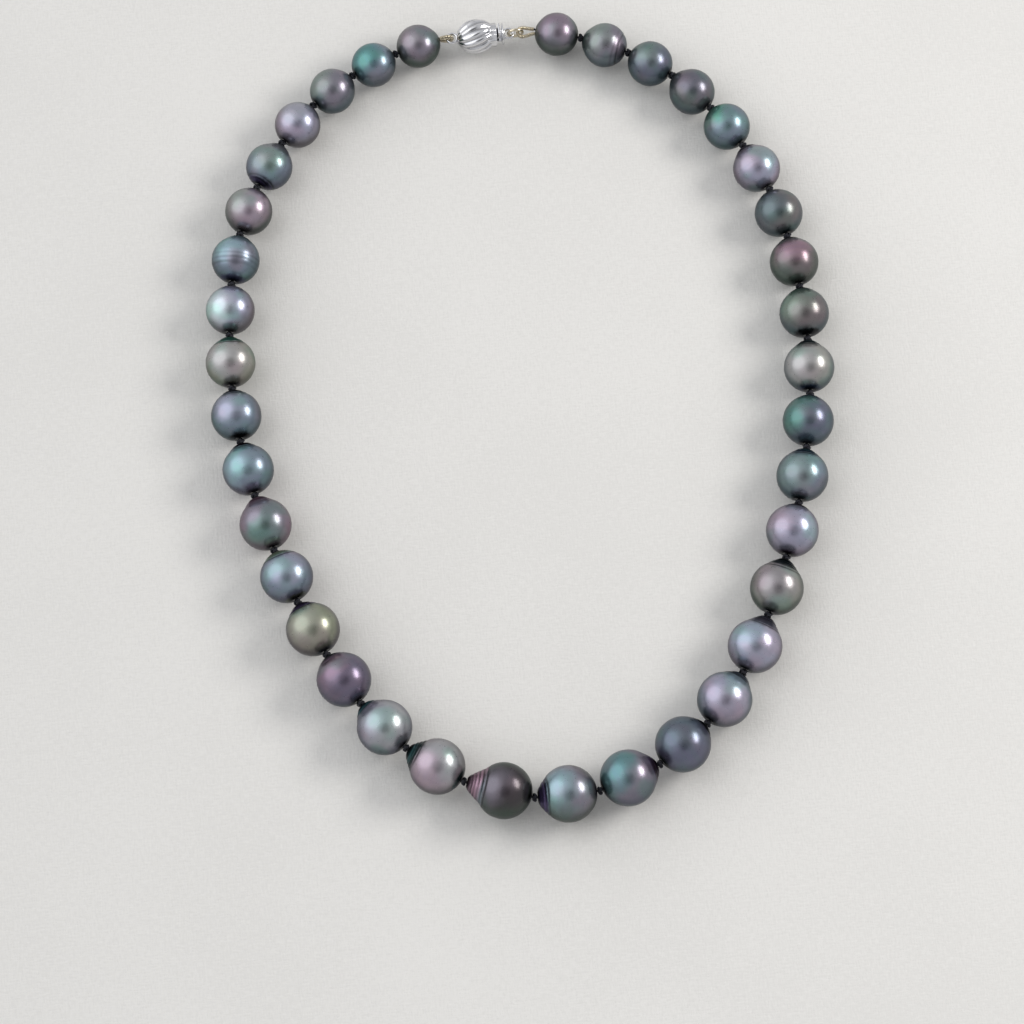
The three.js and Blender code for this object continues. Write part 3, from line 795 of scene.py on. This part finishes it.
def flutedBall():  # local zero at the pole with the loop, local +Y towards the mouth
    half, radius = ballShape["length"] / 2, ballShape["diameter"] / 2
    rows, mouth = ballShape["rows"], ballShape["mouth"]
    collar = mouth + ballShape["collar"]
    lastAngle = math.pi - math.asin(collar / radius)
    firstAngle = ballShape["firstAngle"]
    outline = []
    for row in range(rows + 1):
        angle = firstAngle + row / rows * (lastAngle - firstAngle)
        outline.append((radius * math.sin(angle), half - half * math.cos(angle)))
    rim, lip = 2 * half, ballShape["lipRound"]
    outline += [(collar, rim - lip), (collar - lip, rim), (mouth + lip, rim), (mouth, rim - lip)]
    inner = radius - ballShape["wall"]
    innerAngle = math.pi - math.asin(mouth / inner)
    for row in range(ballShape["innerRows"], -1, -1):
        angle = firstAngle + row / ballShape["innerRows"] * (innerAngle - firstAngle)
        outline.append((inner * math.sin(angle), half - (half - ballShape["wall"]) * math.cos(angle)))
    bm = spinOutline(outline, ballShape["sides"], closed=False)
    bmesh.ops.holes_fill(bm, edges=[edge for edge in bm.edges if edge.is_boundary], sides=0)
    bmesh.ops.recalc_face_normals(bm, faces=bm.faces)
    hollow = bm.verts.layers.float.new("hollow")
    fluteEnd = rim - ballShape["mouthLand"]
    for vert in bm.verts:
        across = math.hypot(vert.co.x, vert.co.z)
        share = (vert.co.y - half) / half
        outer = across / radius > math.sqrt(max(1 - share * share, 0)) - ballShape["skinMargin"]
        if across > ballShape["poleFlat"] and outer and vert.co.y < fluteEnd:
            angle = math.acos(max(-1, min(1, -share)))
            turn = math.atan2(vert.co.z, vert.co.x) - ballShape["fluteTwist"] * angle / lastAngle
            valley = 1 - abs(math.cos(ballShape["flutes"] * turn / 2))
            fade = math.sin(min(angle, math.pi / 2)) * min(1, (fluteEnd - vert.co.y) / ballShape["fluteFade"])
            sunk = 1 - ballShape["fluteDepth"] * fade * valley / across
            vert.co.xz = Vector((vert.co.x, vert.co.z)) * sunk
            vert[hollow] = fade * valley ** 2
    return bm


def rideClasp(name, bm, body, place, material, node=None):
    return finishPiece(name, bm, material, body, [node or body], place)


polish = metalGroup()
ballPivot, ringPivot = jointAt["ball_swivel"], jointAt["ring_swivel"]
tonguePivot, foldPivot = jointAt["tongue_swivel"], jointAt["tab_press"]
alongX = Matrix.Rotation(-math.pi / 2, 3, "Z")  # takes local Y to +X


def placedAt(point, turn=Matrix.Identity(3)):
    return Matrix.Translation(point) @ turn.to_4x4()


tongueShape = {
    "leafWidth": 0.0026,
    "leafThickness": 0.0004,
    "leafDrop": 0.0006,  # of the lower leaf's middle below the clasp's axis
    "inBall": 0.0034,
    "capNear": 0.001,
    "capThickness": 0.0005,
    "capRadius": 0.0022,
    "capOutline": (  # shares of the radius and of the thickness, from the near face to the far one
        (0, 0), (0.75, 0), (0.96, 0.08), (1, 0.3), (1, 0.55),
        (0.97, 0.8), (0.88, 0.94), (0.7, 1), (0.4, 1), (0, 1),
    ),
    "capSides": 96,
    "springWidth": 0.0022,
    "springThickness": 0.00035,
    "springRise": 0.0006,
    "springLift": 0.0003,  # between the two leaves at the fold
    "foldWidth": 0.9,  # of the sprung leaf's width
    "foldSteps": 16,
    "foldRoom": 0.00004,  # behind the sprung leaf, for it to turn when it is pressed
    "tabNear": 0.0003,
    "tabTop": 0.0029,
    "softEdge": 0.00007,
    "softSteps": 3,
}
gimpShape = {
    "coilRadius": 0.00032,
    "wireRadius": 0.000085,
    "wireSides": 6,
    "pitch": 0.00019,
    "pointsPerTurn": 12,
    "pathSteps": 12,  # along each leg, and round each half of the bend
    "bendRadius": 0.001,
    "legOffset": 0.0005,
    "faceGap": 0.00025,  # from the ends of the coil to the drilled face
    "coreRadius": 0.0002,
    "coreSides": 8,
    "coreAtFace": 0.0003,  # off the axis
    "coreInHole": 0.0002,
    "holeDepth": 0.0004,
}


def softenEdges(bm):
    edge, steps = tongueShape["softEdge"], tongueShape["softSteps"]
    bmesh.ops.bevel(
        bm, geom=bm.edges[:], offset=edge, segments=steps, profile=0.5, affect="EDGES", material=-1,
    )
    return bm


def softBox(width, length, thickness, middle):  # a plate with softened edges
    bm = bmesh.new()
    bmesh.ops.create_cube(bm, size=1)
    bmesh.ops.scale(bm, vec=(width, length, thickness), verts=bm.verts)
    bmesh.ops.translate(bm, vec=middle, verts=bm.verts)
    return softenEdges(bm)


def tongueCap():
    near, thick, radius = tongueShape["capNear"], tongueShape["capThickness"], tongueShape["capRadius"]
    outline = [(across * radius, near + along * thick) for across, along in tongueShape["capOutline"]]
    return spinOutline(outline, tongueShape["capSides"], closed=False)


def sprungLeaf():  # the side view, stretched across the leaf
    foot = tongueShape["leafThickness"] / 2 - tongueShape["leafDrop"] + tongueShape["springLift"]
    rise, thick = foot + tongueShape["springRise"], tongueShape["springThickness"]
    near = tongueShape["tabNear"]
    far, back, top = near + thick, -tongueShape["inBall"], tongueShape["tabTop"]
    bm = bmesh.new()
    half = tongueShape["springWidth"] / 2
    side = [(back, foot), (far, rise), (far, top), (near, top), (near, rise + thick), (back, foot + thick)]
    face = bm.faces.new([bm.verts.new((-half, along, height)) for along, height in side])
    grown = bmesh.ops.extrude_face_region(bm, geom=[face])["geom"]
    moved = [part for part in grown if isinstance(part, bmesh.types.BMVert)]
    bmesh.ops.translate(bm, vec=(2 * half, 0, 0), verts=moved)
    bmesh.ops.recalc_face_normals(bm, faces=bm.faces)
    return softenEdges(bm)


def leafFold():  # the bend that joins the two leaves inside the ball
    low = -tongueShape["leafDrop"] - tongueShape["leafThickness"] / 2
    high = tongueShape["leafThickness"] / 2 - tongueShape["leafDrop"] + tongueShape["springLift"]
    high += tongueShape["springThickness"]
    outer = (high - low) / 2
    inner = tongueShape["springLift"] / 2
    half = tongueShape["foldWidth"] * tongueShape["springWidth"] / 2
    bm = bmesh.new()
    corners = [(-half, inner), (half, inner), (half, outer), (-half, outer)]
    points = [bm.verts.new((across, 0, height)) for across, height in corners]
    edges = [bm.edges.new((points[i], points[(i + 1) % 4])) for i in range(4)]
    bmesh.ops.spin(
        bm, geom=points + edges, cent=(0, 0, 0), axis=(1, 0, 0), dvec=(0, 0, 0),
        angle=math.pi, steps=tongueShape["foldSteps"], use_merge=False,
    )
    bmesh.ops.holes_fill(bm, edges=[edge for edge in bm.edges if edge.is_boundary], sides=0)
    bmesh.ops.recalc_face_normals(bm, faces=bm.faces)
    middle = (0, -tongueShape["inBall"] - tongueShape["foldRoom"], (high + low) / 2)
    bmesh.ops.translate(bm, vec=middle, verts=bm.verts)
    return bm


def gimpPath(reach):  # round local zero in the local XY plane, both legs towards a pearl at +Y
    end = reach - gimpShape["faceGap"]
    bend, leg, steps = gimpShape["bendRadius"], gimpShape["legOffset"], gimpShape["pathSteps"]
    half = []
    for step in range(steps + 1):
        share = step / steps
        ease = share * share * (3 - 2 * share)
        half.append(Vector((leg + (bend - leg) * ease, end * (1 - share), 0)))
    for step in range(1, steps + 1):
        turn = math.pi / 2 * step / steps
        half.append(Vector((bend * math.cos(turn), -bend * math.sin(turn), 0)))
    return half + [Vector((-point.x, point.y, 0)) for point in reversed(half[:-1])]


def gimpCoil(reach):  # fine wire wound round the path
    path = gimpPath(reach)
    lengths = [0.0]
    for first, second in zip(path, path[1:]):
        lengths.append(lengths[-1] + (second - first).length)
    turns = round(lengths[-1] / gimpShape["pitch"])
    points, at = [], 0
    for step in range(turns * gimpShape["pointsPerTurn"] + 1):
        distance = lengths[-1] * step / (turns * gimpShape["pointsPerTurn"])
        while at < len(path) - 2 and lengths[at + 1] < distance:
            at += 1
        along = (path[at + 1] - path[at]).normalized()
        middle = path[at] + along * (distance - lengths[at])
        before = (path[at] - path[max(at - 1, 0)]) + (path[at + 1] - path[at])
        across = Vector((0, 0, 1)).cross(before.normalized())
        turn = 2 * math.pi * step / gimpShape["pointsPerTurn"]
        outwards = across * math.cos(turn) + Vector((0, 0, math.sin(turn)))
        points.append(middle + outwards * gimpShape["coilRadius"])
    return tubeAlong(points, gimpShape["wireRadius"], gimpShape["wireSides"])


def gimpCore(reach):  # the silk that the coil guards, on into the pearl
    path = gimpPath(reach)
    inHole = Vector((gimpShape["coreInHole"], reach + gimpShape["holeDepth"], 0))
    hole = [inHole, Vector((gimpShape["coreAtFace"], reach, 0))]
    back = [Vector((-point.x, point.y, 0)) for point in reversed(hole)]
    return tubeAlong(hole + path + back, gimpShape["coreRadius"], gimpShape["coreSides"])


ballPole = ballPivot + Vector((ballShape["poleToLoop"], 0, 0))
mouthPlace = placedAt(ballPole + Vector((ballShape["length"], 0, 0)), alongX)
loopRadius = wireShape["loopRadius"]
ballMetal = metalMaterial("ballMetal", ballPole, polish)
tongueMetal = metalMaterial("tongueMetal", tonguePivot, polish)
springMetal = metalMaterial("springMetal", foldPivot, polish)
ringMetal = metalMaterial("ringMetal", ringPivot, polish, "paleGold")
gimpMetal = metalMaterial("gimpMetal", ballPivot, polish, "paleGold")
rideClasp("clasp_ball_shell", flutedBall(), "clasp_ball", placedAt(ballPole, alongX), ballMetal)
rideClasp("clasp_ball_loop", wireRing(loopRadius), "clasp_ball", placedAt(ballPivot), ballMetal)

leafBack = tongueShape["inBall"] + tongueShape["foldRoom"]
leafLength = leafBack + tongueShape["capNear"] + tongueShape["capThickness"] / 2
leafMiddle = (0, leafLength / 2 - leafBack, -tongueShape["leafDrop"])
leaf = softBox(tongueShape["leafWidth"], leafLength, tongueShape["leafThickness"], leafMiddle)
rideClasp("clasp_tongue_leaf", leaf, "clasp_tongue", mouthPlace, tongueMetal)
rideClasp("clasp_tongue_cap", tongueCap(), "clasp_tongue", mouthPlace, tongueMetal)
rideClasp("clasp_tongue_fold", leafFold(), "clasp_tongue", mouthPlace, tongueMetal)
tongueLoop = wireRing(loopRadius)
rideClasp("clasp_tongue_loop", tongueLoop, "clasp_tongue", placedAt(tonguePivot), tongueMetal)
rideClasp("clasp_spring_leaf", sprungLeaf(), "clasp_spring", mouthPlace, springMetal)

upright = Matrix.Rotation(math.pi / 2, 3, "X")
ringMiddle = (tonguePivot + ringPivot) / 2
jumpRing = wireRing(wireShape["ringRadius"])
rideClasp("jump_ring_wire", jumpRing, "jump_ring", placedAt(ringMiddle, upright), ringMetal)

standing = Matrix.Rotation(math.pi / 2, 3, "Z") @ Matrix.Rotation(math.pi / 2, 3, "Y")
ballBend = placedAt(ballPivot - Vector((loopRadius, 0, 0)), standing)
ballReach = stringing["claspPivotToPearl"] - loopRadius
rideClasp("gimp_left_coil", gimpCoil(ballReach), "pearl_01", ballBend, gimpMetal, "gimp_left")
ringBend = placedAt(ringPivot, alongX)
ringReach = stringing["claspPivotToPearl"]
rideClasp("gimp_right_coil", gimpCoil(ringReach), "pearl_37", ringBend, gimpMetal, "gimp_right")
finishPiece("gimp_left_silk", gimpCore(ballReach), silk, "pearl_01", ["silk_thread"], ballBend)
finishPiece("gimp_right_silk", gimpCore(ringReach), silk, "pearl_37", ["silk_thread"], ringBend)
print("clasp made")


studio = {
    "floorSize": 3.0,
    "keyPower": 4.0,
    "keySize": (0.54, 0.30),
    "keyPlace": (0.70, 0.12, 0.52),
    "keyColour": (1.0, 0.98, 0.95),
    "fillPower": 2.2,
    "fillSize": (1.1, 1.2),
    "fillPlace": (-0.75, 0.25, 0.65),
    "fillColour": (0.94, 0.97, 1.0),
    "domeStrength": 0.64,
    "domeColour": (0.97, 0.98, 1.0, 1),
    "glowStrength": 0.55,  # a wide pale glow on the fill's side of the room
    "glowSpread": (12, 62),
    "overheadStrength": 0.12,  # the dim room behind the camera
    "overheadSpread": (9, 30),  # degrees from the overhead direction, where it gives way to the dome
    "overheadWay": (0.0, -0.30, 0.95),
    "viewAzimuth": -5.4,  # degrees, as are the two other angles
    "viewElevation": 72.0,
    "viewAngle": 15.8,
    "viewDistance": 0.72,
    "viewAim": (-0.0046, -0.0215, 0.005),
    "sensorWidth": 36,  # mm
    "clip": (0.01, 10),
}


clothPattern = {
    "roughness": 0.9,
    "specular": 0.15,
    "unit": 0.001,
    "cloudScale": 0.02,
    "threadScale": 2.6,
    "threadWays": ((0.25, 1.0, 1.0), (1.0, 0.25, 1.0)),
    "mottleEdge": (1.2, 1.8),
    "bumpDistance": 0.00012,
    "bumpStrength": 0.5,
}


def floorMaterial():
    look = clothPattern
    finish = {"Roughness": look["roughness"], "Specular_IOR_Level": look["specular"]}
    material, tree, shader = newMaterial("paleCloth", **finish)
    place = objectPlace(tree, size=look["unit"])
    cloudy = noiseAt(tree, place, look["cloudScale"], 3)
    grain = 0.0
    for stretched in look["threadWays"]:
        threads = addNode(tree, "ShaderNodeVectorMath", operation="MULTIPLY")
        feed(tree, threads.inputs[0], place)
        threads.inputs[1].default_value = stretched
        grain = maths(tree, "ADD", grain, noiseAt(tree, threads.outputs[0], look["threadScale"]))
    mottled = stepBetween(tree, maths(tree, "ADD", cloudy, grain), *look["mottleEdge"])
    feed(tree, shader.inputs["Base Color"], mixTones(tree, mottled, tone("cloth"), tone("clothShade")))
    addBump(tree, shader, grain, look["bumpDistance"], look["bumpStrength"])
    return material


def addFloor():
    bm = bmesh.new()
    bmesh.ops.create_grid(bm, x_segments=1, y_segments=1, size=studio["floorSize"] / 2)
    mesh = bpy.data.meshes.new("floor")
    bm.to_mesh(mesh)
    bm.free()
    mesh.materials.append(floorMaterial())
    floor = bpy.data.objects.new("floor", mesh)
    bpy.context.collection.objects.link(floor)


def addSoftbox(name):
    lamp = bpy.data.lights.new(name, "AREA")
    lamp.shape = "ELLIPSE"
    lamp.size, lamp.size_y = studio[name + "Size"]
    lamp.energy = studio[name + "Power"]
    lamp.color = studio[name + "Colour"]
    holder = bpy.data.objects.new(name, lamp)
    holder.location = studio[name + "Place"]
    holder.rotation_euler = (-holder.location).to_track_quat("-Z", "Y").to_euler()
    bpy.context.collection.objects.link(holder)


def roundSpot(tree, way, spread, strength=1.0):  # full inside the first angle, nothing past the second
    facing = addNode(tree, "ShaderNodeVectorMath", operation="DOT_PRODUCT")
    feed(tree, facing.inputs[0], addNode(tree, "ShaderNodeTexCoord").outputs["Generated"])
    facing.inputs[1].default_value = Vector(way).normalized()
    near, far = [math.cos(math.radians(angle)) for angle in spread]
    return stepBetween(tree, facing.outputs["Value"], far, near, strength)


def addDome():  # a pale room, dim where the camera looks from
    world = bpy.data.worlds.new("studio")
    world.use_nodes = True
    tree = world.node_tree
    dim = roundSpot(tree, studio["overheadWay"], studio["overheadSpread"])
    drop = studio["overheadStrength"] - studio["domeStrength"]
    strength = maths(tree, "MULTIPLY_ADD", dim, drop, studio["domeStrength"])
    glow = roundSpot(tree, studio["fillPlace"], studio["glowSpread"], studio["glowStrength"])
    background = tree.nodes["Background"]
    feed(tree, background.inputs["Strength"], maths(tree, "ADD", strength, glow))
    feed(tree, background.inputs["Color"], studio["domeColour"])
    bpy.context.scene.world = world


def addCamera():
    azimuth, elevation = math.radians(studio["viewAzimuth"]), math.radians(studio["viewElevation"])
    level = math.cos(elevation)
    back = Vector((math.sin(azimuth) * level, -math.cos(azimuth) * level, math.sin(elevation)))
    lens = bpy.data.cameras.new("camera")
    lens.sensor_width = studio["sensorWidth"]
    lens.angle = math.radians(studio["viewAngle"])
    lens.clip_start, lens.clip_end = studio["clip"]
    camera = bpy.data.objects.new("camera", lens)
    camera.location = Vector(studio["viewAim"]) + back * studio["viewDistance"]
    camera.rotation_euler = (-back).to_track_quat("-Z", "Y").to_euler()
    bpy.context.collection.objects.link(camera)
    bpy.context.scene.camera = camera


addFloor()
addSoftbox("key")
addSoftbox("fill")
addDome()
bpy.context.scene.view_settings.view_transform = "Standard"
addCamera()
print("studio lit")
